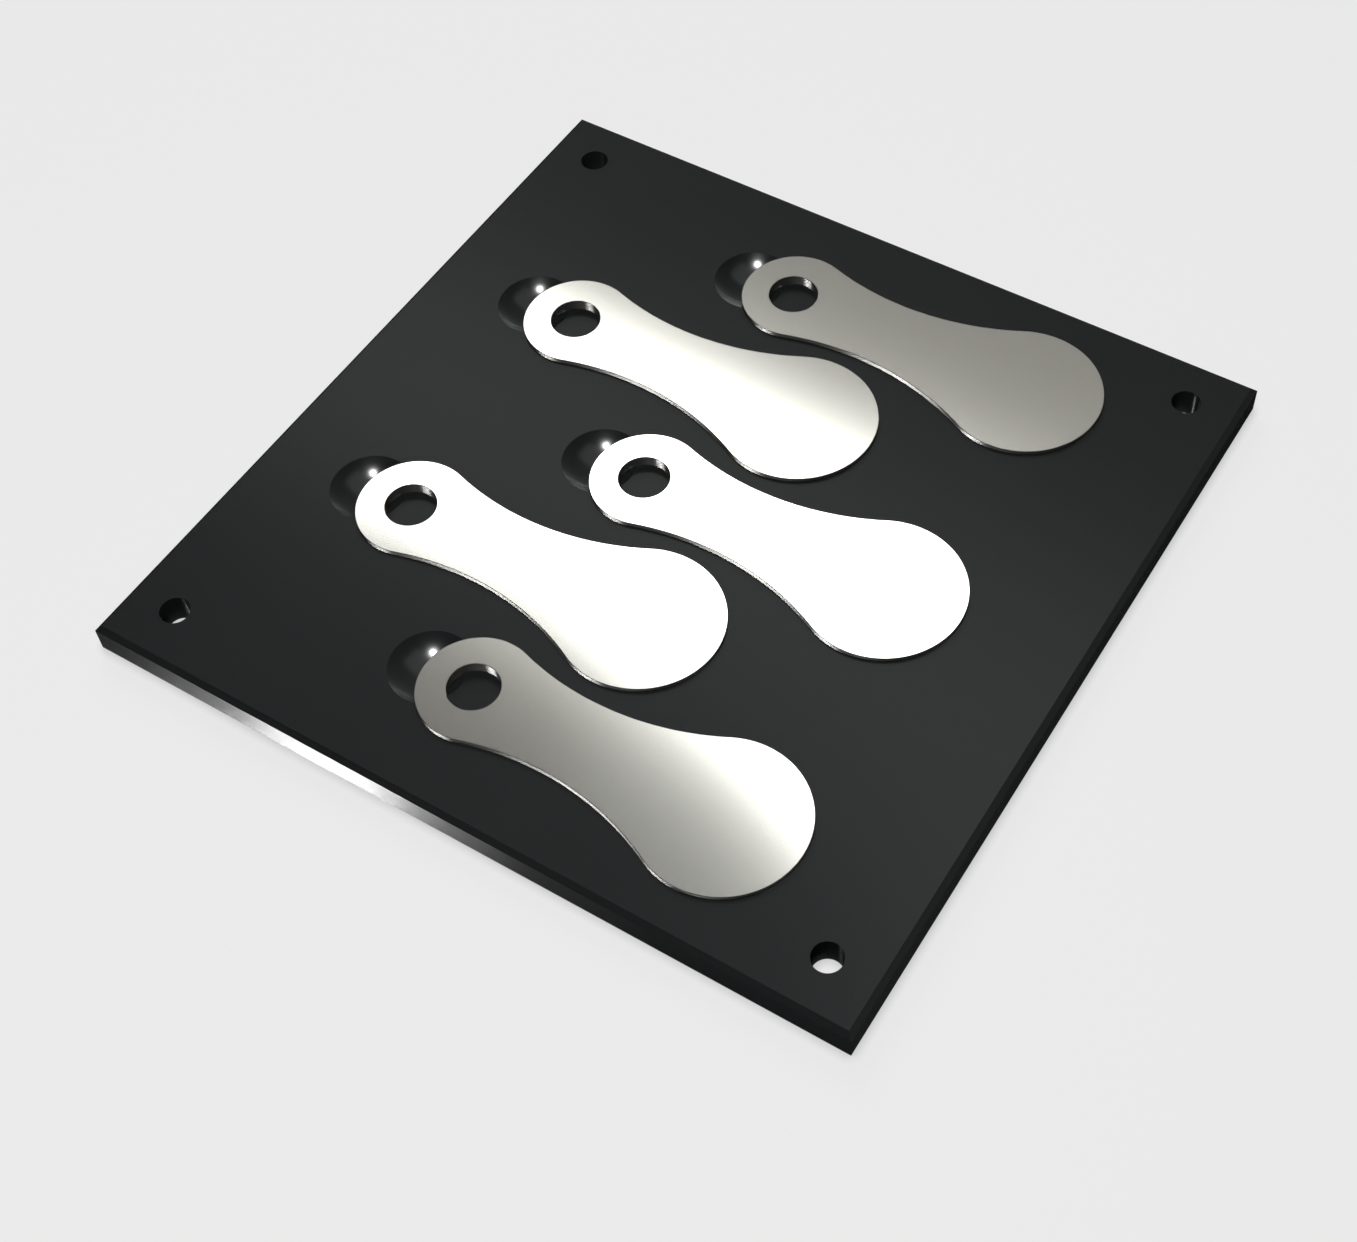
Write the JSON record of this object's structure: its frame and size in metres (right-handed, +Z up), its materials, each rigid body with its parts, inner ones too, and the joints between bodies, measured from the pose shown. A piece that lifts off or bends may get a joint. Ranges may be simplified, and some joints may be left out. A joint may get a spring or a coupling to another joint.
{
  "type": "laser engraving jig with metal blanks",
  "caption": "Square black jig plate with corner fixing holes and staggered pockets that hold drilled, paddle-shaped metal blanks level for laser marking, with finger recesses.",
  "frame": {"origin": "centre of the plate's underside", "axes": "+X along the blanks, from the ring hole to the large end; +Y across the rows; +Z up, out of the pockets"},
  "size_m": [0.152, 0.152, 0.0068],
  "materials": {
    "plate": "black anodised, satin",
    "blank": "polished stainless steel"
  },
  "bodies": {
    "root": {"jig_plate": "plate", "blank_1": "blank", "blank_2": "blank", "blank_3": "blank", "blank_4": "blank", "blank_5": "blank"}
  },
  "joints": []
}
